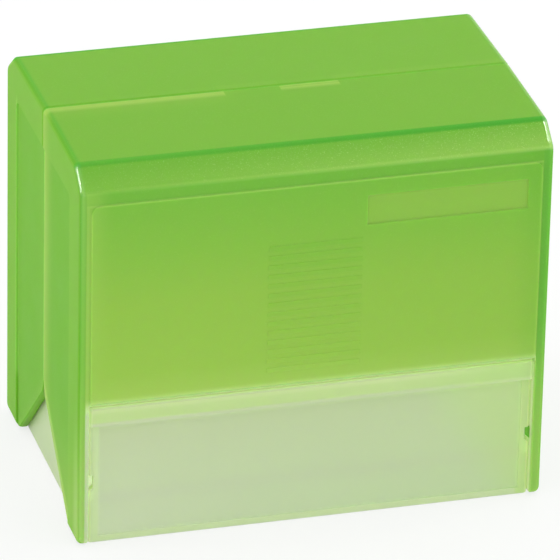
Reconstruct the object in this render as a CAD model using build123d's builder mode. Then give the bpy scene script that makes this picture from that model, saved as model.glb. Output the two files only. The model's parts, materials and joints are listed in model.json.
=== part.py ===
import os
from math import radians, tan

from build123d import *

# Index card box: two identical half shells, hinged near the feet of a low open tray,
# open away from each other like a pair of jaws. Lengths are in millimetres, +Z is up,
# the front faces -Y, and the origin is the centre of the tray's underside.

# Overall size of the closed box
width = 118.0
depth = 76.5
height = 101.0
seam_gap = 0.3
overrun = 6.0

# Half shell: walls, bevel and the side outline
flange_wall = 2.7
panel_wall = 2.0
bevel_depth = 6.4
bevel_drop = 5.0
bevel_soft = 3.0
top_rise = 0.5
rim_radius = 1.4
seam_soft = 0.6
foot_clear = 0.3
foot_radius = 2.0
foot_inner_soft = 0.4
toe_radius = 3.0
toe_reach = 12.4
slope_top = 24.0
slope_round = 4.0

# Half shell: raised front panel with its rounded lower lip, plaque recess and grip ribs
step_slope = 40
panel_raise = 0.3
panel_low = 37.8
panel_top_border = 3.4
panel_corner = 2.4
lip_radius = 2.0
plaque_length = 40.7
plaque_height = 8.1
plaque_sink = 0.4
plaque_corner = 0.5
plaque_right_margin = 3.5
plaque_top_margin = 4.35
rib_low_margin = 5.42
rib_top_margin = 15.6
rib_pitch = 2.52
rib_length = 23.4
rib_shift = -0.55
rib_width = 1.3
rib_height = 0.1
rib_taper = 45

# Half shell: sunk side panels, the seam lip and the pair of catch ribs under the roof
side_border = 10.8
side_top_border = 10.4
side_sink = 0.5
side_corner = 2.0
seam_lip_width = 2.8
seam_lip_drop = 1.2
seam_lip_stop = 14.0
catch_length = 15.0
catch_width = 0.7
catch_spacing = 1.6

# Hinge studs with stop wings, and the closing nubs
hinge_setback = 4.65
hinge_z = 12.0
stud_radius = 1.6
stud_end_gap = 0.15
hinge_clear = 0.08
wing_reach = 4.3
wing_angle = 20
wing_half_angle = 14
wing_gap_angle = 1.5
open_angle = 45
nub_reach = 1.25
nub_height = 3.2
nub_top = 18.4
nub_depth = 0.9
nub_setback = 0.2
nub_clear = 0.2
nub_swing = 1.0

# Tray: walls, the stepped front and rear rims and the thinner windows in their frames
side_clear = 0.2
tray_setback = 2.0
tray_wall = 1.8
tray_floor = 1.8
tray_corner = 1.0
tray_edge_soft = 0.5
rim_step = 1.25
rim_low = 32.5
rim_gap = 0.3
rim_soft = 0.5
inner_floor_soft = 1.2
window_side_border = 2.5
window_low_border = 1.8
window_top_border = 0.4
window_sink = 0.3

# Places shared by the pieces
half_width = width / 2
half_depth = depth / 2
border_y = -half_depth + panel_raise
seam_y = -seam_gap / 2
bevel_top_z = height - top_rise
bevel_low_z = bevel_top_z - bevel_drop
bevel_back_y = border_y + bevel_depth
flange_in_x = half_width - flange_wall
toe_y = border_y + toe_reach
slope_run = Vector(toe_y - seam_y, foot_clear - slope_top).normalized()
slope_end = Vector(seam_y, slope_top) + slope_run * slope_round
slope_start = Vector(seam_y, slope_top + slope_round)
slope_radius = slope_round * tan(radians(slope_run.get_angle(Vector(0, 1))) / 2)
slope_centre = slope_start - Vector(slope_radius, 0)
panel_top = bevel_low_z - panel_top_border
rib_low_z = panel_low + rib_low_margin
rib_count = 1 + int((panel_top - rib_top_margin - rib_low_z) / rib_pitch)
rib_mid_z = rib_low_z + rib_pitch * (rib_count - 1) / 2
hinge_y = -half_depth + hinge_setback
tray_half_width = flange_in_x - side_clear
tray_half_depth = half_depth - tray_setback
rim_half_depth = tray_half_depth + rim_step
tray_top = panel_low - rim_gap
nub_front_y = -tray_half_depth + nub_setback

# Planes of the work: the side outline, the border and panel faces of the front, the hinge
border_plane = Plane.XZ.offset(-border_y)
panel_plane = Plane.XZ.offset(half_depth)
tray_face = Plane.XZ.offset(tray_half_depth)
nub_plane = Plane.XZ.offset(-nub_front_y)
hinge_plane = Plane(origin=(0, hinge_y, hinge_z), x_dir=(0, 1, 0), z_dir=(1, 0, 0))


# Closing nub at the right-hand column: flat on top, sloping below, grown by a gap for its pocket
def nub_points(gap, swing):
    wall_x = flange_in_x + nub_reach
    inner_x = flange_in_x - nub_reach - gap
    high_z = nub_top + gap
    low_z = nub_top - nub_height - gap - swing
    return [
        (wall_x, high_z),
        (inner_x, high_z),
        (inner_x, low_z + nub_reach),
        (flange_in_x, low_z),
        (wall_x, low_z),
    ]


# Front half shell
with BuildPart() as front_jaw:
    # Side outline with its foot, rounded all along its rim and lightly softened at the seam
    with BuildSketch(Plane.YZ) as side:
        with BuildLine():
            Polyline(
                (border_y, foot_clear),
                (border_y, bevel_low_z),
                (bevel_back_y, bevel_top_z),
                (seam_y, height),
                (seam_y, slope_top),
                (toe_y, foot_clear),
                close=True,
            )
        make_face()
        fillet(side.vertices().sort_by_distance((border_y, foot_clear))[0], radius=foot_radius)
        fillet(side.vertices().sort_by_distance((toe_y, foot_clear))[0], radius=toe_radius)
        fillet(side.vertices().sort_by_distance((border_y, bevel_low_z))[0], radius=bevel_soft)
        fillet(side.vertices().sort_by_distance((bevel_back_y, bevel_top_z))[0], radius=bevel_soft)
    extrude(amount=half_width, both=True)
    outline_edges = front_jaw.faces().filter_by(Axis.X).edges()
    seam_edges = outline_edges.filter_by(Axis.Z).group_by(Axis.Y)[-1]
    fillet(outline_edges - seam_edges, radius=rim_radius)
    seam_face = front_jaw.faces().filter_by(Axis.Y).sort_by(Axis.Y)[-1]
    fillet(seam_face.edges().sort_by(Axis.Z)[1:], radius=seam_soft)

    # Rounded corner where the seam edge turns into the slope
    with BuildSketch(Plane.YZ):
        Polygon(
            slope_centre,
            slope_start,
            slope_start + Vector(overrun, 0),
            Vector(seam_y + overrun, slope_top - overrun),
            slope_end,
            align=None,
        )
        with Locations(slope_centre):
            Circle(slope_radius, mode=Mode.SUBTRACT)
    extrude(amount=half_width, both=True, mode=Mode.SUBTRACT)

    # Hollow inside, open at the seam and the bottom, and the opening below the front panel
    with BuildSketch(Plane.YZ) as hollow:
        with BuildLine():
            Polyline(
                (border_y, -overrun),
                (border_y, bevel_low_z),
                (bevel_back_y, bevel_top_z),
                (seam_y, height),
                (seam_y + overrun, height),
                (seam_y + overrun, -overrun),
                close=True,
            )
        make_face()
        offset(amount=-panel_wall, kind=Kind.INTERSECTION)
    extrude(amount=flange_in_x, both=True, mode=Mode.SUBTRACT)
    with Locations((0, border_y, panel_low)):
        Box(
            2 * flange_in_x,
            2 * overrun,
            panel_low + overrun,
            align=(Align.CENTER, Align.CENTER, Align.MAX),
            mode=Mode.SUBTRACT,
        )

    # Softened inner edges of the feet and columns
    inner_edges = front_jaw.edges().filter_by_position(Axis.Z, -overrun, slope_top)
    fillet(
        inner_edges.filter_by_position(Axis.X, -flange_in_x - seam_gap, seam_gap - flange_in_x)
        + inner_edges.filter_by_position(Axis.X, flange_in_x - seam_gap, flange_in_x + seam_gap),
        radius=foot_inner_soft,
    )

    # Raised front panel, rounded in at its lower lip
    with BuildSketch(border_plane) as panel:
        with Locations((0, panel_low)):
            Rectangle(
                2 * flange_in_x,
                panel_top - panel_low,
                align=(Align.CENTER, Align.MIN),
            )
        fillet(panel.vertices().group_by(Axis.Y)[-1], radius=panel_corner)
    extrude(amount=panel_raise, taper=step_slope)
    with BuildSketch(Plane.YZ):
        with Locations((-half_depth, panel_low)):
            Rectangle(lip_radius, lip_radius, align=(Align.MIN, Align.MIN))
        with Locations((-half_depth + lip_radius, panel_low + lip_radius)):
            Circle(lip_radius, mode=Mode.SUBTRACT)
    extrude(amount=flange_in_x, both=True, mode=Mode.SUBTRACT)

    # Sunk plaque and the grip ribs on the panel
    with BuildSketch(panel_plane) as plaque:
        with Locations((flange_in_x - plaque_right_margin, panel_top - plaque_top_margin)):
            Rectangle(plaque_length, plaque_height, align=(Align.MAX, Align.MAX))
        fillet(plaque.vertices(), radius=plaque_corner)
    extrude(amount=-plaque_sink, taper=step_slope, mode=Mode.SUBTRACT)
    with BuildSketch(panel_plane):
        with Locations((rib_shift, rib_mid_z)):
            with GridLocations(rib_pitch, rib_pitch, 1, rib_count):
                Rectangle(rib_length, rib_width)
    extrude(amount=rib_height, taper=rib_taper)

    # Sunk side panels, open towards the seam and the slope
    for hand in (-1, 1):
        with BuildSketch(Plane.YZ.offset(hand * half_width)) as recess:
            with Locations((-half_depth + side_border, height - side_top_border)):
                Rectangle(half_depth, height, align=(Align.MIN, Align.MAX))
            fillet(recess.vertices().group_by(Axis.Y)[-1].sort_by(Axis.X)[0], radius=side_corner)
        extrude(amount=-hand * side_sink, taper=step_slope, mode=Mode.SUBTRACT)

    # Lip under the left of the roof's seam edge and two short catch ribs right of the middle
    lip_runs = [(-flange_in_x, -seam_lip_stop, seam_lip_width, 0)]
    lip_runs += [(0, catch_length, catch_width, row * catch_spacing) for row in range(2)]
    for start_x, end_x, run_width, setback in lip_runs:
        with BuildSketch(Plane.YZ.offset(start_x)):
            with Locations((seam_y - setback, height - panel_wall / 2)):
                Rectangle(run_width, panel_wall / 2 + seam_lip_drop, align=(Align.MAX, Align.MAX))
        extrude(amount=end_x - start_x)

    # Hinge studs with their stop wings, and the closing nubs
    for hand in (-1, 1):
        with BuildSketch(hinge_plane.offset(hand * flange_in_x)):
            Circle(stud_radius)
            with BuildLine():
                wing = CenterArc((0, 0), wing_reach, wing_angle - wing_half_angle, 2 * wing_half_angle)
                Line((0, 0), wing @ 0)
                Line((0, 0), wing @ 1)
            make_face()
        extrude(amount=-hand * (side_clear + tray_wall - stud_end_gap))
    with BuildSketch(nub_plane):
        Polygon(*nub_points(0, 0), align=None)
        mirror(about=Plane.YZ)
    extrude(amount=-nub_depth)
front_jaw.part.label = "front_jaw"

# Rear half shell: the same moulding turned half round
with BuildPart() as rear_jaw:
    add(front_jaw.part, rotation=(0, 0, 180))
rear_jaw.part.label = "rear_jaw"

# Tray
with BuildPart() as card_tray:
    # Outside and inside, with the front and rear walls stepped outwards at the rim
    with BuildSketch(Plane.YZ):
        with Locations((0, 0)):
            Rectangle(2 * tray_half_depth, tray_top, align=(Align.CENTER, Align.MIN))
        with Locations((0, rim_low)):
            Rectangle(2 * rim_half_depth, tray_top - rim_low, align=(Align.CENTER, Align.MIN))
    extrude(amount=tray_half_width, both=True)
    fillet(card_tray.edges().filter_by(Axis.Z), radius=tray_corner)
    fillet(card_tray.faces().sort_by(Axis.Z)[0].edges(), radius=tray_edge_soft)
    with BuildSketch(Plane.YZ):
        with Locations((0, tray_floor)):
            Rectangle(2 * (tray_half_depth - tray_wall), tray_top, align=(Align.CENTER, Align.MIN))
        with Locations((0, rim_low + tray_floor)):
            Rectangle(2 * (rim_half_depth - tray_wall), tray_top, align=(Align.CENTER, Align.MIN))
    extrude(amount=tray_half_width - tray_wall, both=True, mode=Mode.SUBTRACT)
    rim_edges = card_tray.faces().sort_by(Axis.Z)[-1].edges()
    fillet(rim_edges, radius=rim_soft)
    floor_face = card_tray.faces().filter_by(Axis.Z).filter_by_position(Axis.Z, 0, 2 * tray_floor)
    fillet(floor_face.sort_by(Axis.Z)[-1].edges(), radius=inner_floor_soft)

    # Thinner window inside the frame of the front wall, repeated on the rear wall
    window_height = rim_low - window_top_border - window_low_border
    for face, way in ((tray_face, 1), (Plane.XZ.offset(-tray_half_depth), -1)):
        with BuildSketch(face):
            with Locations((0, window_low_border)):
                Rectangle(
                    2 * (tray_half_width - window_side_border),
                    window_height,
                    align=(Align.CENTER, Align.MIN),
                )
        extrude(amount=-way * window_sink, mode=Mode.SUBTRACT)

    # Hinge holes with a window for the stop wing, front and rear
    stop_half_angle = wing_half_angle + wing_gap_angle
    with BuildSketch(hinge_plane) as hinge_hole:
        Circle(stud_radius + hinge_clear)
        with BuildLine():
            sector = CenterArc(
                (0, 0),
                wing_reach + hinge_clear,
                wing_angle - stop_half_angle,
                open_angle + 2 * stop_half_angle,
            )
            Line((0, 0), sector @ 0)
            Line((0, 0), sector @ 1)
        make_face()
    extrude(amount=half_width, both=True, mode=Mode.SUBTRACT)
    with BuildSketch(Plane(origin=(0, -hinge_y, hinge_z), x_dir=(0, -1, 0), z_dir=(-1, 0, 0))):
        add(hinge_hole.sketch_local)
    extrude(amount=half_width, both=True, mode=Mode.SUBTRACT)

    # Pockets for the closing nubs at the four upright edges
    for face, way in ((tray_face, 1), (Plane.XZ.offset(-tray_half_depth), -1)):
        with BuildSketch(face):
            Polygon(*nub_points(nub_clear, nub_swing), align=None)
            mirror(about=Plane.YZ)
        extrude(amount=-way * (nub_setback + nub_depth + nub_clear), mode=Mode.SUBTRACT)
card_tray.part.label = "card_tray"

os.makedirs("parts", exist_ok=True)
for piece in (card_tray, front_jaw, rear_jaw):
    export_step(piece.part, f"parts/{piece.part.label}.step")
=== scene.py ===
import json
import math
from types import SimpleNamespace

import bpy
from mathutils import Matrix, Vector

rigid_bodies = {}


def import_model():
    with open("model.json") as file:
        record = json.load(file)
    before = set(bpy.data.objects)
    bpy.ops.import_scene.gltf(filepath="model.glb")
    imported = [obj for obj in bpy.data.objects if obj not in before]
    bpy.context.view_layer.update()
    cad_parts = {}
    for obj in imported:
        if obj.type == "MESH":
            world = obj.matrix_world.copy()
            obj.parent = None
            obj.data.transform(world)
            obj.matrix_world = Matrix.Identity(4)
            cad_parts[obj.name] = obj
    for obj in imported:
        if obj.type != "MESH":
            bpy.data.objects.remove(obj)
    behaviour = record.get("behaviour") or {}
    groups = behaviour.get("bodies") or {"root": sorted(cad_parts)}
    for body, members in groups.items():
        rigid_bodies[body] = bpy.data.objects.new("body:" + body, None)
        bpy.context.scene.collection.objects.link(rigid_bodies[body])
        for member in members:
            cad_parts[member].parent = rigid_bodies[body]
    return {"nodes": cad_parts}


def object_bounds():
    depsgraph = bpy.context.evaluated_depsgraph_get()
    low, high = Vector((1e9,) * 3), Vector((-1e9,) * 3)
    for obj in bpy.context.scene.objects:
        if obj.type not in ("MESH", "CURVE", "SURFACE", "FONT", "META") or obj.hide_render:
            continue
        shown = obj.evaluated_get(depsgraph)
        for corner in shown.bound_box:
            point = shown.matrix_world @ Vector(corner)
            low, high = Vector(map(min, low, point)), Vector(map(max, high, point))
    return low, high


for leftover in list(bpy.data.objects):
    bpy.data.objects.remove(leftover)
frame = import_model()
cad_low, cad_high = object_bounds()
scene = bpy.context.scene

# Outer measures of the box in millimetres, from the frame
MM = 1000.0
HALF_WIDTH, HALF_DEPTH, BOX_TOP = (MM * measure for measure in cad_high)

# Half shell: where its front, sides and roof begin, the sides' recess and the front panel's step
FRONT_FACE = HALF_DEPTH - 0.85
FLANK_FACE = HALF_WIDTH - 0.8
ROOF_FACE = BOX_TOP - 0.99
SIDE_RECESS = HALF_WIDTH - 0.25
PANEL_STEP = HALF_DEPTH - 0.25

# Half shell: front panel with its lip and plaque, and the grip ribs
PANEL_LOW, PANEL_TOP, PANEL_SIDE = 37.8, 92.1, 55.9
PANEL_TOP_EDGE = (PANEL_TOP - 0.5, PANEL_TOP + 0.1)
PANEL_SIDE_EDGE = (0.1, 0.7)
LIP_BACK, LIP_FADE = 35.8, (36.9, 40.7)
PLAQUE_ACROSS, PLAQUE_HEIGHT = (12.1, 52.8), (79.65, 87.75)
RIB_ACROSS = (-12.25, 11.15)
RIB_LOW, RIB_TOP, RIB_PITCH = 43.22, 75.98, 2.52
RIB_MARGIN = 1.2

# Half shell: columns beside the panel, with the edges that face the tray
COLUMN_LEFT, COLUMN_RIGHT = 57.35, 56.4
INNER_EDGE_TOP = 37.6
LEFT_STEP_SIDE, LEFT_STEP_HEIGHT = (PANEL_SIDE, 56.6), (PANEL_LOW, PANEL_TOP - 2.0)
LEFT_STRIP_SIDE, LEFT_STRIP_TOP = 56.1, 36.5
NUB_SIDE, NUB_DEPTH, NUB_HEIGHT = (54.9, 56.2), (35.0, 36.2), (15.0, 18.6)

# Half shell: bevel, its two edges and the upright corner, each edge as its depth and its other measure
BEVEL_BACK, BEVEL_TOP = 31.55, 100.5
BEVEL_FRONT, BEVEL_LOW = 37.95, 95.5
BEVEL_NEAR = 0.45
RIDGE, BEVEL_FOOT, CORNER = (31.45, 100.36), (37.64, 95.35), (37.55, 58.6)
ROOF_RIM_LOW, ROOF_RIM_SIDE = 99.8, (57.3, 58.3)

# Half shell: sides with the sloped edge over the tray, and the seam with its lip and catches
SLOPE_SIDE, SLOPE_TOP, SLOPE_DEPTH, SLOPE_TURN = 57.0, 24.0, 0.15, math.radians(47)
SLOPE_FADE = (0.8, 4.0)
CREASE_DEPTH, CREASE_HEIGHT = (26.4, 27.8), (15.0, 91.0)
FOOT_DEPTH, FOOT_FADE = 33.5, (8.0, 42.0)
SEAM_REACH = 10.0
SEAM_LIP_END, SEAM_LIP_WIDTH = -14.0, 2.8
CATCH_ACROSS, CATCH_GAP = (0.0, 15.0), (1.2, 1.6)

# Half shell: rounded edges that gloss, and narrow gaps, lip and seam where a painted glow stands for light
# that comes through
ROUNDING_SIDE, GLOSS_RISE = (57.5, 58.85), (40.0, 94.0)
BEVEL_END_LOW, BEVEL_END_DEPTH = 94.5, 31.4
CORNER_GLOSS_DEPTH, RIM_GLOSS_LOW = 36.4, 99.6
GAP_SIDE, GAP_DEPTH, GAP_TOP = (55.0, 56.45), (34.0, 37.4), 36.9
LIP_GLOW_HEIGHT = (37.0, 38.2)
SEAM_GLOW_DEPTH, SEAM_GLOW_LOW = 0.3, 20.0

# Tray: frame, window and rim of its front, its end walls and the pockets for the nubs
TRAY_FACE, FRAME_BAND = 36.25, 0.1
WINDOW_DEPTH, WINDOW_SIDE = (35.2, TRAY_FACE - 0.15), 53.6
RIM_LOW, RIM_DEPTH = 32.5, 36.6
RIM_TINT_LOW, RIM_LIGHT_LOW, FILLET_LOW, RIM_FLAT = RIM_LOW + 0.9, 36.0, 36.95, 37.42
END_WALL_SIDE, END_WALL_DEPTH = 55.6, 34.0
FRAME_RIGHT = 53.0
POCKET_SIDE, POCKET_DEPTH, POCKET_HEIGHT = 54.6, (34.6, 36.15), (12.0, 19.5)
FRAME_END, FRAME_END_NEAR = 55.9, 55.35
CREASE_RING_DEPTH, CREASE_RING_SIDE, CREASE_RING_HEIGHT = (35.5, 36.2), (53.1, 53.8), (2.4, 31.0)
WALL_LEAN, WALL_FADE = 0.57, (42.0, 62.0)

BLACK = (0.0, 0.0, 0.0, 1.0)
WHITE = (1.0, 1.0, 1.0, 1.0)


def srgb(red, green, blue):
    """A colour given as it looks on screen, 0 to 255, as the shader's own numbers."""
    channels = [c / 255 for c in (red, green, blue)]
    return tuple(c / 12.92 if c <= 0.04045 else ((c + 0.055) / 1.055) ** 2.4 for c in channels) + (1.0,)


class Nodes:
    """Short calls for filling a node tree."""

    def __init__(self, tree):
        self.tree = tree

    def put(self, kind, **settings):
        node = self.tree.nodes.new(kind)
        for name, value in settings.items():
            setattr(node, name, value)
        return node

    def feed(self, socket, value):
        if isinstance(value, bpy.types.NodeSocket):
            self.tree.links.new(value, socket)
        else:
            socket.default_value = value

    def math(self, operation, first, second=None):
        node = self.put("ShaderNodeMath", operation=operation)
        self.feed(node.inputs[0], first)
        if second is not None:
            self.feed(node.inputs[1], second)
        return node.outputs[0]

    def both(self, *masks):
        """Product of masks and plain shares."""
        result = masks[0]
        for mask in masks[1:]:
            result = self.math("MULTIPLY", result, mask)
        return result

    def either(self, first, second):
        return self.math("MAXIMUM", first, second)

    def without(self, mask):
        return self.math("SUBTRACT", 1.0, mask)

    def span(self, mask, low, high):
        """A number that goes from low to high with the mask."""
        return self.math("ADD", self.both(mask, high - low), low)

    def ramp(self, value, low, high, kind="SMOOTHSTEP"):
        node = self.put("ShaderNodeMapRange", interpolation_type=kind)
        self.feed(node.inputs["Value"], value)
        self.feed(node.inputs["From Min"], low)
        self.feed(node.inputs["From Max"], high)
        return node.outputs["Result"]

    def grade(self, value, low, high):
        return self.ramp(value, low, high, kind="LINEAR")

    def fade(self, value, low, high):
        return self.without(self.ramp(value, low, high))

    def above(self, value, limit, soft):
        return self.ramp(value, limit - soft, limit + soft)

    def below(self, value, limit, soft):
        return self.fade(value, limit - soft, limit + soft)

    def between(self, value, low, high, soft):
        return self.group(band_group, value=value, low=low, high=high, soft=soft)["Mask"]

    def along_edge(self, depth, other, edge, core, fade):
        edge_depth, edge_height = edge
        measures = dict(depth=depth, height=other, edge_depth=edge_depth, edge_height=edge_height)
        return self.group(edge_group, core=core, fade=fade, **measures)["Mask"]

    def sloped(self, depth, height, origin, turn):
        """Distance from a line through the origin, along a direction turned up from the depth."""
        along_depth = self.both(self.math("SUBTRACT", depth, origin[0]), math.cos(turn))
        along_height = self.both(self.math("SUBTRACT", height, origin[1]), math.sin(turn))
        return self.math("ADD", along_depth, along_height)

    def blend(self, share, first, second):
        node = self.put("ShaderNodeMix", data_type="RGBA")
        self.feed(node.inputs[0], share)
        self.feed(node.inputs[6], first)
        self.feed(node.inputs[7], second)
        return node.outputs[2]

    def layers(self, colour, coats):
        """Each coat is its share over what lies beneath, and its shade."""
        for share, shade in coats:
            colour = self.blend(share, colour, shade)
        return colour

    def shades(self, value, stops):
        node = self.put("ShaderNodeValToRGB")
        self.feed(node.inputs[0], value)
        elements = node.color_ramp.elements
        while len(elements) < len(stops):
            elements.new(0.5)
        for element, (position, colour) in zip(elements, stops):
            element.position, element.color = position, srgb(*colour)
        return node.outputs["Color"]

    def noise(self, vector, scale, detail):
        node = self.put("ShaderNodeTexNoise")
        self.feed(node.inputs["Vector"], vector)
        self.feed(node.inputs["Scale"], scale)
        self.feed(node.inputs["Detail"], detail)
        return node.outputs["Fac"]

    def group(self, tree, **inputs):
        node = self.put("ShaderNodeGroup", node_tree=tree)
        for name, value in inputs.items():
            self.feed(node.inputs[name.replace("_", " ").capitalize()], value)
        return node.outputs


def new_group(name, inputs, outputs, vectors=()):
    """A node group with number sockets, and vector sockets where they are named as such."""
    tree = bpy.data.node_groups.new(name, "ShaderNodeTree")
    for direction, sockets in (("INPUT", inputs), ("OUTPUT", outputs)):
        for socket_name in sockets:
            kind = "NodeSocketVector" if socket_name in vectors else "NodeSocketFloat"
            tree.interface.new_socket(socket_name, in_out=direction, socket_type=kind)
    nodes = Nodes(tree)
    return tree, nodes, nodes.put("NodeGroupInput").outputs, nodes.put("NodeGroupOutput").inputs


def new_material(name):
    material = bpy.data.materials.new(name)
    material.use_nodes = True
    material.node_tree.nodes.clear()
    return material, Nodes(material.node_tree)


# Places on the box in millimetres, the rear half turned onto the front half
PLACES = ("Across", "Side", "Depth", "Height", "Front half", "Right half")
places_group, n, given, result = new_group("box_places", ("Place",), PLACES, vectors=("Place",))
axes = n.put("ShaderNodeSeparateXYZ")
n.feed(axes.inputs[0], given["Place"])
wide, deep, high = (n.both(axis, MM) for axis in axes.outputs)
n.feed(result["Across"], n.both(wide, n.both(n.math("SIGN", deep), -1.0)))
n.feed(result["Side"], n.math("ABSOLUTE", wide))
n.feed(result["Depth"], n.math("ABSOLUTE", deep))
n.feed(result["Height"], high)
n.feed(result["Front half"], n.math("LESS_THAN", deep, 0.0))
n.feed(result["Right half"], n.math("GREATER_THAN", wide, 0.0))

# Soft band of a measure between two limits
band_group, n, given, result = new_group("soft_band", ("Value", "Low", "High", "Soft"), ("Mask",))
limits = []
for limit in ("Low", "High"):
    start = n.math("SUBTRACT", given[limit], given["Soft"])
    end = n.math("ADD", given[limit], given["Soft"])
    limits.append(n.ramp(given["Value"], start, end))
n.feed(result["Mask"], n.both(limits[0], n.without(limits[1])))

# Line along an edge that runs across the box
EDGE_INPUTS = ("Depth", "Height", "Edge depth", "Edge height", "Core", "Fade")
edge_group, n, given, result = new_group("edge_line", EDGE_INPUTS, ("Mask",))
off_depth = n.math("SUBTRACT", given["Depth"], given["Edge depth"])
off_height = n.math("SUBTRACT", given["Height"], given["Edge height"])
reach = n.math("SQRT", n.math("ADD", n.both(off_depth, off_depth), n.both(off_height, off_height)))
n.feed(result["Mask"], n.fade(reach, given["Core"], given["Fade"]))

# Fine frosting of moulded plastic
FROST_OUTPUTS = ("Tone", "Relief", "Roughness")
frost_group, n, given, result = new_group("frosting", ("Place", "Amount"), FROST_OUTPUTS, vectors=("Place",))
GRAIN_SCALE, GRAIN_DETAIL, SPECK = 3200.0, 3.0, (0.56, 0.72)
CLOUD_SCALE, CLOUD_DETAIL, CLOUD_MEAN, CLOUD_SWING = 90.0, 2.0, 0.5, 0.12
grain = n.noise(given["Place"], GRAIN_SCALE, GRAIN_DETAIL)
cloud = n.noise(given["Place"], CLOUD_SCALE, CLOUD_DETAIL)
n.feed(result["Tone"], n.both(n.ramp(grain, *SPECK), given["Amount"]))
n.feed(result["Relief"], n.both(grain, given["Amount"]))
n.feed(result["Roughness"], n.both(n.math("SUBTRACT", cloud, CLOUD_MEAN), CLOUD_SWING))


def new_plastic(name, settings):
    """A moulded plastic: its shader with the settings that are the same all over, and the places on it."""
    material, n = new_material(name)
    out = n.put("ShaderNodeOutputMaterial")
    skin = n.put("ShaderNodeBsdfPrincipled")
    n.feed(out.inputs["Surface"], skin.outputs[0])
    for socket, value in settings.items():
        skin.inputs[socket].default_value = value
    place = n.put("ShaderNodeTexCoord").outputs["Object"]
    spots = n.group(places_group, place=place)
    zone = SimpleNamespace(place=place)
    for spot in PLACES:
        setattr(zone, spot.lower().replace(" ", "_"), spots[spot])
    return material, n, skin.inputs, zone


def add_frosting(n, skin, zone, colour, amount, tone, shade, roughness, relief):
    """Pale specks over the colour, an uneven roughness and a fine relief."""
    frost = n.group(frost_group, place=zone.place, amount=amount)
    n.feed(skin["Base Color"], n.blend(n.both(frost["Tone"], tone), colour, shade))
    n.feed(skin["Roughness"], n.math("ADD", frost["Roughness"], roughness))
    bump = n.put("ShaderNodeBump")
    bump.inputs["Strength"].default_value = relief
    bump.inputs["Distance"].default_value = 0.0002
    n.feed(bump.inputs["Height"], frost["Relief"])
    n.feed(skin["Normal"], bump.outputs[0])


def find_shell_zones(n, zone):
    """Masks of a half shell that several of its finishes share."""
    zone.front = n.above(zone.depth, FRONT_FACE, soft=0.2)
    zone.left_end = n.math("LESS_THAN", zone.across, 0.0)
    zone.right_end = n.without(zone.left_end)
    column_edge = n.span(zone.left_end, COLUMN_RIGHT, COLUMN_LEFT)
    zone.edge_reach = n.math("SUBTRACT", column_edge, zone.side)
    zone.inboard = n.above(zone.edge_reach, 0.0, soft=0.15)
    zone.panel = n.both(zone.front, zone.inboard)
    zone.flank = n.both(n.above(zone.side, FLANK_FACE, soft=0.2), n.without(zone.front))
    zone.roof = n.above(zone.height, ROOF_FACE, soft=0.2)
    zone.seam_share = n.span(zone.front_half, 0.1, 1.0)
    # Fade away from the seam, which carries the painted light near the seam
    seam_near = n.without(n.grade(zone.depth, 0.0, SEAM_REACH))
    zone.seam_fade = n.both(seam_near, seam_near, zone.seam_share)
    bevel_turn = math.atan2(BEVEL_FRONT - BEVEL_BACK, BEVEL_TOP - BEVEL_LOW)
    slant = n.sloped(zone.depth, zone.height, (BEVEL_BACK, BEVEL_TOP), bevel_turn)
    bevel_band = n.between(zone.height, BEVEL_LOW - 0.2, BEVEL_TOP + 0.05, soft=0.2)
    zone.bevel = n.both(n.above(slant, -BEVEL_NEAR, soft=0.15), bevel_band)
    zone.ridge = n.along_edge(zone.depth, zone.height, RIDGE, core=0.5, fade=1.4)
    zone.nub = n.both(
        n.between(zone.side, *NUB_SIDE, soft=0.05),
        n.between(zone.height, *NUB_HEIGHT, soft=0.1),
        n.between(zone.depth, *NUB_DEPTH, soft=0.1),
    )


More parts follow.
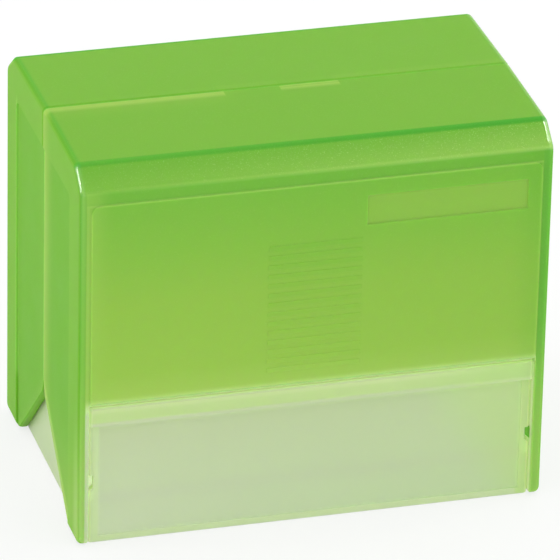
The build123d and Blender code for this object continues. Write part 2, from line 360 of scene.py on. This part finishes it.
def panel_coats(n, zone):
    """Front panel: border, plaque, painted shade towards the right end and along the ribs, painted light
    beside the left column, on the left step and as a glow at the lip, and painted highlights on the thin
    light edges.
    """
    sunk = n.both(zone.front, n.below(zone.depth, PANEL_STEP, soft=0.06))
    beside = n.either(n.above(zone.height, PANEL_TOP, soft=0.2), n.below(zone.side, PANEL_SIDE, soft=0.1))
    border = n.both(sunk, n.above(zone.height, PANEL_LOW, soft=0.2), beside)
    # Painted shade: the panel is darker towards its right end and beside the right column
    right_painted_shade = n.both(zone.right_end, n.fade(zone.edge_reach, 0.0, 9.0), 0.18)
    right_turn = n.both(n.grade(zone.across, -30.0, 56.0), 0.14)
    rib_field = n.both(
        zone.front,
        n.between(zone.across, *RIB_ACROSS, soft=0.8),
        n.between(zone.height, RIB_LOW - RIB_MARGIN, RIB_TOP + RIB_MARGIN, soft=0.3),
    )
    # Painted shade along the grip ribs, stronger on the upper ribs
    rib_turn = n.both(n.math("SUBTRACT", zone.height, RIB_LOW), 2 * math.pi / RIB_PITCH)
    rib_crests = n.span(n.math("COSINE", rib_turn), 0.5, 1.0)
    rib_painted_shade = n.both(rib_crests, n.span(n.ramp(zone.height, 46.0, 64.0), 0.03, 0.16))
    # Painted light on the panel beside the left column
    left_painted_light = n.both(zone.left_end, n.fade(zone.edge_reach, 0.0, 7.0), 0.45)
    # Painted highlights: thin light lines along the panel's top and side edges
    top_edge_highlight = n.both(zone.panel, n.between(zone.height, *PANEL_TOP_EDGE, soft=0.12))
    side_edge_highlight = n.both(
        zone.front,
        n.between(zone.edge_reach, *PANEL_SIDE_EDGE, soft=0.12),
        n.between(zone.height, PANEL_LOW, PANEL_TOP, soft=0.3),
        n.span(zone.left_end, 0.4, 1.0),
    )
    # Painted light over the shaded step beside the left column
    left_step_painted_light = n.both(
        zone.front,
        zone.left_end,
        n.between(zone.side, *LEFT_STEP_SIDE, soft=0.1),
        n.between(zone.height, *LEFT_STEP_HEIGHT, soft=1.0),
    )
    plaque_across = n.between(zone.across, *PLAQUE_ACROSS, soft=0.1)
    plaque = n.both(sunk, plaque_across, n.between(zone.height, *PLAQUE_HEIGHT, soft=0.1))
    # Painted glow: the lip is pale with light, fading upwards
    lip = n.both(zone.inboard, n.above(zone.depth, LIP_BACK, soft=0.1), n.fade(zone.height, *LIP_FADE))
    return [
        (border, srgb(126, 190, 73)),
        (n.both(zone.panel, n.math("ADD", right_painted_shade, right_turn)), srgb(105, 178, 58)),
        (n.both(rib_field, n.math("ADD", rib_painted_shade, 0.01)), srgb(105, 178, 58)),
        (n.both(zone.panel, left_painted_light), srgb(166, 208, 98)),
        (n.both(n.either(top_edge_highlight, side_edge_highlight), 0.5), srgb(166, 208, 104)),
        (left_step_painted_light, srgb(160, 205, 93)),
        (plaque, srgb(149, 197, 84)),
        (lip, srgb(206, 229, 162)),
    ]


def column_coats(n, zone):
    """Columns beside the panel, with painted light that makes them lighter towards their feet and the left
    one lighter than the right, and painted light on their edges that face the tray.
    """
    # Painted light: both columns are lighter towards their feet, and the left column is lighter all along
    # than the right
    rise = n.grade(zone.height, 0.0, 60.0)
    right_column_painted_light = n.shades(rise, [
        (0.0, (154, 198, 97)), (0.45, (145, 193, 89)), (0.8, (117, 185, 74)), (1.0, (112, 182, 69)),
    ])
    left_column_painted_light = n.shades(rise, [
        (0.0, (167, 204, 115)), (0.25, (161, 201, 107)), (0.5, (152, 197, 94)), (0.8, (138, 193, 82)),
        (1.0, (136, 192, 80)),
    ])
    # Painted light on the flanges' inner faces beside the tray, paler deeper in, over the shade of the gap
    edge_side = n.between(zone.side, PANEL_SIDE, COLUMN_RIGHT, soft=0.1)
    inner_edge_painted_light = n.blend(n.ramp(zone.depth, 36.2, 38.0), srgb(193, 214, 156), srgb(156, 196, 96))
    return [
        (n.both(zone.front, n.without(zone.inboard)), n.blend(zone.left_end, right_column_painted_light, left_column_painted_light)),
        (n.both(edge_side, n.below(zone.height, INNER_EDGE_TOP, soft=0.4)), inner_edge_painted_light),
    ]


def side_coats(n, zone):
    """Sides, with painted light that makes them lighter near the floor and the front foot, lightens the
    crease at the rear and lays a pale glow along the sloped edge over the tray.
    """
    recess = n.above(zone.side, SIDE_RECESS, soft=0.05)
    # Painted light in the rear crease, lightening its shade
    crease = n.both(
        zone.flank,
        n.without(zone.front_half),
        n.between(zone.depth, *CREASE_DEPTH, soft=0.3),
        n.between(zone.height, *CREASE_HEIGHT, soft=2.0),
    )
    near_flank = n.both(zone.flank, zone.seam_share)
    # Painted light on the sides near the front foot
    foot_painted_light = n.both(n.above(zone.depth, FOOT_DEPTH, soft=2.0), n.fade(zone.height, *FOOT_FADE))
    # Painted light: a pale glow along the sloped edge over the tray
    slope_reach = n.sloped(zone.depth, zone.height, (SLOPE_DEPTH, SLOPE_TOP), SLOPE_TURN)
    slope_edge_painted_light = n.both(
        zone.seam_share, n.above(zone.side, SLOPE_SIDE, soft=0.3), n.fade(slope_reach, *SLOPE_FADE)
    )
    return [
        (zone.flank, n.blend(recess, srgb(102, 166, 40), srgb(112, 171, 50))),
        (crease, srgb(128, 188, 72)),
        # Painted light: the sides are lighter near the floor
        (n.both(near_flank, n.fade(zone.height, 0.0, 34.0), 0.45), srgb(150, 192, 84)),
        (n.both(near_flank, foot_painted_light, 0.35), srgb(178, 208, 126)),
        (n.both(slope_edge_painted_light, 0.7), srgb(172, 203, 108)),
    ]


def roof_coats(n, zone):
    """Bevel and roof with their darker edges, painted shade on the left roof rim and the corner, a painted
    highlight along the bevel's foot, painted light near the seam, and the seam's lip and catches that show
    through.
    """
    bevel_low = n.blend(n.grade(zone.across, -60.0, 50.0), srgb(132, 189, 73), srgb(150, 198, 88))
    bevel_shades = n.blend(n.grade(zone.height, BEVEL_LOW, BEVEL_TOP), bevel_low, srgb(117, 182, 61))
    # Painted shade along the roof's left rim; the right rim gets gloss instead
    rim_side = n.between(zone.side, *ROOF_RIM_SIDE, soft=0.5)
    roof_rim_painted_shade = n.both(n.above(zone.height, ROOF_RIM_LOW, soft=0.3), rim_side, n.without(zone.right_half))
    turn = n.grade(zone.across, -60.0, 40.0)
    # Painted highlight: a light line along the bevel's lower edge, stronger towards the right
    bevel_foot_highlight = n.along_edge(zone.depth, zone.height, BEVEL_FOOT, core=0.2, fade=0.8)
    corner = n.along_edge(zone.depth, zone.side, CORNER, core=0.15, fade=0.5)
    # Painted shade along the upright corner, on the left end only above mid-height
    corner_painted_shade = n.both(corner, n.either(n.ramp(zone.height, 30.0, 60.0), zone.right_end))
    # Painted light near the seam on the roof's left end, over the inner lip that shows through
    seam_painted_light = n.both(zone.roof, zone.seam_fade, n.below(zone.across, SEAM_LIP_END, soft=6.0))
    lip_strip = n.both(zone.roof, zone.seam_share, n.below(zone.depth, SEAM_LIP_WIDTH, soft=1.0))
    seam_lip = n.both(lip_strip, n.below(zone.across, SEAM_LIP_END, soft=0.15))
    catch_gap = n.both(n.between(zone.depth, *CATCH_GAP, soft=0.3), 0.5)
    catches = n.both(lip_strip, n.between(zone.across, *CATCH_ACROSS, soft=0.15), n.without(catch_gap))
    return [
        (zone.bevel, bevel_shades),
        (n.both(roof_rim_painted_shade, 0.6), srgb(84, 166, 48)),
        (n.both(zone.ridge, n.span(turn, 0.55, 0.95)), srgb(76, 166, 50)),
        (n.both(corner_painted_shade, 0.3), srgb(84, 166, 48)),
        (n.both(bevel_foot_highlight, n.span(turn, 0.15, 0.55)), srgb(168, 208, 110)),
        # Painted light on the sides near the seam
        (n.both(zone.flank, zone.seam_fade, 0.9), srgb(150, 188, 80)),
        (n.both(seam_painted_light, 0.4), srgb(150, 188, 80)),
        (n.both(seam_lip, 0.75), srgb(156, 192, 88)),
        (n.both(catches, 0.8), srgb(154, 191, 87)),
    ]


def gap_coats(n, zone):
    """Closing nubs, the left one painted pale as a painted highlight, and the pale strip down the left
    column beside the tray.
    """
    left_strip = n.both(
        zone.panel,
        zone.left_end,
        n.above(zone.side, LEFT_STRIP_SIDE, soft=0.1),
        n.below(zone.height, LEFT_STRIP_TOP, soft=1.0),
    )
    return [
        # The right nub is in the shell's green; the left nub is painted pale, a painted highlight
        (zone.nub, n.blend(zone.left_end, srgb(120, 184, 70), srgb(207, 223, 180))),
        (left_strip, srgb(197, 212, 169)),
    ]


def shell_gloss(n, zone):
    """Gloss of the rounded edges: strong at the bevel's ends, weaker along the roof and the corners."""
    rounding = n.between(zone.side, *ROUNDING_SIDE, soft=0.1)
    bevel_end = n.both(
        zone.seam_share,
        n.above(zone.height, BEVEL_END_LOW, soft=0.4),
        n.above(zone.depth, BEVEL_END_DEPTH, soft=0.3),
    )
    corner_gloss = n.both(
        n.above(zone.depth, CORNER_GLOSS_DEPTH, soft=0.1), zone.left_end, n.ramp(zone.height, *GLOSS_RISE)
    )
    rim_gloss = n.both(n.above(zone.height, RIM_GLOSS_LOW, soft=0.3), zone.right_half)
    return n.both(rounding, n.either(bevel_end, n.both(n.either(rim_gloss, corner_gloss), 0.5)))


def shell_glow(n, zone):
    """Painted glow, as emission, standing for light that the plastic carries into its narrow gaps, its left
    nub, its lip and its seam.
    """
    gap = n.both(
        n.between(zone.side, *GAP_SIDE, soft=0.05),
        n.below(zone.height, GAP_TOP, soft=0.6),
        n.between(zone.depth, *GAP_DEPTH, soft=0.6),
        n.without(zone.nub),
    )
    lip = n.both(
        n.below(zone.side, PANEL_SIDE, soft=0.1),
        n.between(zone.height, *LIP_GLOW_HEIGHT, soft=0.2),
        n.above(zone.depth, LIP_BACK, soft=0.1),
    )
    seam = n.both(
        n.below(zone.depth, SEAM_GLOW_DEPTH, soft=0.1), n.above(zone.height, SEAM_GLOW_LOW, soft=1.0)
    )
    # Painted glow, as emission, in the gaps, on the left nub, along the seam and at the lip
    return n.layers(BLACK, [
        (n.both(gap, 0.25), srgb(199, 188, 159)),
        (n.both(zone.nub, zone.left_end, 0.3), srgb(205, 214, 180)),
        (n.both(seam, 0.3), srgb(118, 172, 90)),
        (n.both(lip, 0.4), srgb(206, 204, 152)),
    ])


def make_shell_plastic():
    """Translucent lime plastic: its shades follow how much light each zone lets through, as painted light
    and shade in the base colour and a painted glow in the emission.
    """
    material, n, skin, zone = new_plastic("lime_shell_plastic", {
        "Coat Roughness": 0.05,
        "Emission Strength": 1.0,
        "Specular IOR Level": 0.05,
        "Subsurface Weight": 1.0,
        "Subsurface Radius": (0.5, 1.0, 0.3),
        "Subsurface Scale": 0.0022,
    })
    find_shell_zones(n, zone)
    # Painted light: the front panel is lighter towards its foot, where light comes in from the tray and the
    # floor
    panel_painted_light = n.shades(n.grade(zone.height, 38.0, 92.0), [
        (0.0, (175, 210, 106)), (0.06, (169, 207, 97)), (0.15, (161, 203, 88)), (0.5, (155, 200, 84)),
        (0.75, (143, 197, 79)), (1.0, (133, 194, 75)),
    ])
    colour = n.blend(zone.front, srgb(117, 175, 58), panel_painted_light)
    for coats in (panel_coats, column_coats, side_coats, roof_coats, gap_coats):
        colour = n.layers(colour, coats(n, zone))
    # Pale frost specks, partly the moulding's frosted grain and partly painted glints, strongest on the
    # bevel towards its right end
    sparkle = n.both(zone.bevel, n.without(zone.ridge), n.grade(zone.across, -90.0, 50.0))
    amount = n.span(sparkle, 0.15, 1.05)
    pale = srgb(190, 222, 136)
    add_frosting(n, skin, zone, colour, amount, tone=0.5, shade=pale, roughness=0.52, relief=0.12)
    n.feed(skin["Coat Weight"], shell_gloss(n, zone))
    n.feed(skin["Emission Color"], shell_glow(n, zone))
    return material


def tray_colour(n, zone, window):
    """Frame, thinner window, rim and end walls of the tray, with painted light: the window lighter towards
    the floor and where the lit inner wall shows through, the rim lighter near its top.
    """
    # Painted light: the lit inner right wall, seen through the frosted front, as a lighter patch
    wall_reach = n.math("ADD", zone.across, n.both(zone.height, WALL_LEAN))
    # Painted light: the window is lighter towards the floor
    window_shades = n.blend(n.grade(zone.height, 2.0, 31.0), srgb(233, 250, 212), srgb(226, 239, 199))
    window_shades = n.layers(window_shades, [
        (n.both(n.grade(zone.across, -45.0, 50.0), 0.45), srgb(214, 237, 182)),
        (n.ramp(wall_reach, *WALL_FADE), srgb(221, 250, 180)),
    ])
    frame_right = n.above(zone.across, FRAME_RIGHT, soft=0.5)
    frame_shades = n.blend(frame_right, srgb(234, 253, 203), srgb(225, 254, 177))
    # Painted light: the rim is lighter near its top
    rim_light = n.above(zone.height, RIM_LIGHT_LOW, soft=0.4)
    rim_shades = n.layers(n.blend(rim_light, srgb(222, 251, 177), srgb(229, 254, 188)), [
        (n.above(zone.height, FILLET_LOW, soft=0.15), srgb(221, 239, 187)),
        (n.ramp(zone.across, 20.0, 60.0), srgb(212, 244, 164)),
    ])
    rim = n.both(n.above(zone.height, RIM_LOW, soft=0.3), n.above(zone.depth, RIM_DEPTH, soft=0.2))
    return n.layers(frame_shades, [
        (n.either(window, rim), window_shades),
        (n.both(rim, n.above(zone.height, RIM_TINT_LOW, soft=0.3)), rim_shades),
        (zone.end_wall, srgb(209, 228, 175)),
    ])


def tray_glow(n, zone, window):
    """Painted glow, as emission, standing for light that gathers at the tray's cut edges, pockets and
    creases, and weakly in its frame.
    """
    frame_face = n.both(
        n.between(zone.depth, TRAY_FACE - FRAME_BAND, TRAY_FACE + FRAME_BAND, soft=0.05),
        n.below(zone.height, RIM_LOW, soft=0.2),
        n.without(window),
    )
    frame_end = n.either(
        n.above(zone.side, FRAME_END, soft=0.1), n.both(n.above(zone.side, FRAME_END_NEAR, soft=0.15), 0.5)
    )
    pocket = n.both(
        n.above(zone.side, POCKET_SIDE, soft=0.1),
        n.between(zone.height, *POCKET_HEIGHT, soft=0.5),
        n.between(zone.depth, *POCKET_DEPTH, soft=0.05),
    )
    ring_inner, ring_outer = CREASE_RING_SIDE
    ring = n.either(
        n.above(zone.side, ring_inner, soft=0.15),
        n.without(n.between(zone.height, *CREASE_RING_HEIGHT, soft=0.5)),
    )
    crease = n.both(
        n.between(zone.depth, *CREASE_RING_DEPTH, soft=0.1), n.below(zone.side, ring_outer, soft=0.15), ring
    )
    flat_top = n.above(zone.height, RIM_FLAT, soft=0.06)
    edges = n.both(frame_end, n.without(zone.end_wall))
    for share, mask in ((0.4, pocket), (0.5, flat_top), (0.2, crease)):
        edges = n.either(edges, n.both(mask, share))
    return n.layers(BLACK, [(frame_face, srgb(15, 62, 0)), (n.both(edges, 0.4), srgb(190, 216, 150))])


def make_tray_plastic():
    """Frosted, nearly clear plastic with a faint green tint, painted light cast from the shells."""
    material, n, skin, zone = new_plastic("frosted_tray_plastic", {
        "Emission Strength": 1.0,
        "IOR": 1.3,
        "Transmission Weight": 0.3,
        "Subsurface Weight": 1.0,
        "Subsurface Radius": (1.0, 1.0, 0.8),
        "Subsurface Scale": 0.0012,
    })
    zone.end_wall = n.both(
        n.above(zone.side, END_WALL_SIDE, soft=0.2), n.below(zone.depth, END_WALL_DEPTH, soft=1.0)
    )
    window_depth = n.between(zone.depth, *WINDOW_DEPTH, soft=0.1)
    window = n.both(window_depth, n.below(zone.side, WINDOW_SIDE, soft=0.15))
    colour = tray_colour(n, zone, window)
    pale = srgb(240, 252, 222)
    add_frosting(n, skin, zone, colour, 0.4, tone=0.2, shade=pale, roughness=0.38, relief=0.08)
    n.feed(skin["Emission Color"], tray_glow(n, zone, window))
    return material


lime = make_shell_plastic()
milk = make_tray_plastic()
for node, material in (("front_jaw", lime), ("rear_jaw", lime), ("card_tray", milk)):
    slots = frame["nodes"][node].data.materials
    slots.clear()
    slots.append(material)

# Floor of white paper that keeps the shadow
FLOOR_SIZE, FLOOR_DROP, PAPER_GREY, PAPER_GLOW = 6.0, 0.0002, 0.92, 0.75
bpy.ops.mesh.primitive_plane_add(size=FLOOR_SIZE, location=(0, 0, -FLOOR_DROP))
floor = bpy.context.object
floor.name = "studio_floor"
paper, n = new_material("white_paper")
out = n.put("ShaderNodeOutputMaterial")
matt = n.put("ShaderNodeBsdfDiffuse")
matt.inputs["Color"].default_value = (PAPER_GREY, PAPER_GREY, PAPER_GREY, 1.0)
glow = n.put("ShaderNodeEmission")
path = n.put("ShaderNodeLightPath").outputs
seen = n.either(path["Is Camera Ray"], n.either(path["Is Glossy Ray"], path["Is Transmission Ray"]))
mixed = n.put("ShaderNodeMixShader")
n.feed(mixed.inputs[0], n.both(seen, PAPER_GLOW))
n.feed(mixed.inputs[1], matt.outputs[0])
n.feed(mixed.inputs[2], glow.outputs[0])
n.feed(out.inputs["Surface"], mixed.outputs[0])
floor.data.materials.append(paper)

# World of even white light
world = bpy.data.worlds.new("studio_world")
scene.world = world
world.use_nodes = True
world.node_tree.nodes.clear()
n = Nodes(world.node_tree)
out = n.put("ShaderNodeOutputWorld")
sky = n.put("ShaderNodeBackground")
sky.inputs["Strength"].default_value = 1.0
sky.inputs["Color"].default_value = WHITE
n.feed(out.inputs["Surface"], sky.outputs[0])

# Softboxes for the light, and cards that only show in the gloss of the edges
LIGHT_AIM = Vector((0, 0, 0.06))


def softbox(name, place, size, power, card=False):
    light = bpy.data.lights.new(name, "AREA")
    light.shape = "RECTANGLE"
    light.size, light.size_y = size
    light.energy = power
    lamp = bpy.data.objects.new(name, light)
    lamp.location = place
    lamp.rotation_mode = "QUATERNION"
    lamp.rotation_quaternion = (LIGHT_AIM - Vector(place)).to_track_quat("-Z", "Y")
    lamp.visible_diffuse = not card
    lamp.visible_transmission = not card
    scene.collection.objects.link(lamp)


softbox("softbox_left", (-0.95, 0.18, 0.53), (0.3, 0.4), 1.4)
softbox("softbox_right", (0.9, 0.1, 0.62), (0.3, 0.4), 1.4)
softbox("card_left", (-0.858, 0.015, 0.65), (0.2, 1.0), 10.0, card=True)
softbox("card_right", (0.56, -0.18, 0.95), (0.15, 0.45), 3.2, card=True)

# Camera at the photograph's viewing angle
AZIMUTH, ELEVATION, ROLL = math.radians(-16.04), math.radians(26.54), math.radians(1.31)
CAMERA_AIM, CAMERA_DISTANCE = Vector((0.0016, 0.0, 0.0476)), 1.597
LENS_LENGTH, SENSOR_WIDTH = 414.8, 36.0
right = Vector((math.cos(AZIMUTH), math.sin(AZIMUTH), 0))
level_ahead = Vector((-math.sin(AZIMUTH), math.cos(AZIMUTH), 0))
ahead = level_ahead * math.cos(ELEVATION) - Vector((0, 0, math.sin(ELEVATION)))
up = right.cross(ahead)
turned_right = right * math.cos(ROLL) + up * math.sin(ROLL)
turned_up = up * math.cos(ROLL) - right * math.sin(ROLL)
lens = bpy.data.cameras.new("photo_camera")
lens.lens = LENS_LENGTH
lens.sensor_width = SENSOR_WIDTH
lens.clip_start, lens.clip_end = 0.1, 20
camera = bpy.data.objects.new("photo_camera", lens)
turn = Matrix((turned_right, turned_up, -ahead)).transposed().to_4x4()
camera.matrix_world = Matrix.Translation(CAMERA_AIM - ahead * CAMERA_DISTANCE) @ turn
scene.collection.objects.link(camera)
scene.camera = camera
scene.view_settings.view_transform = "Standard"
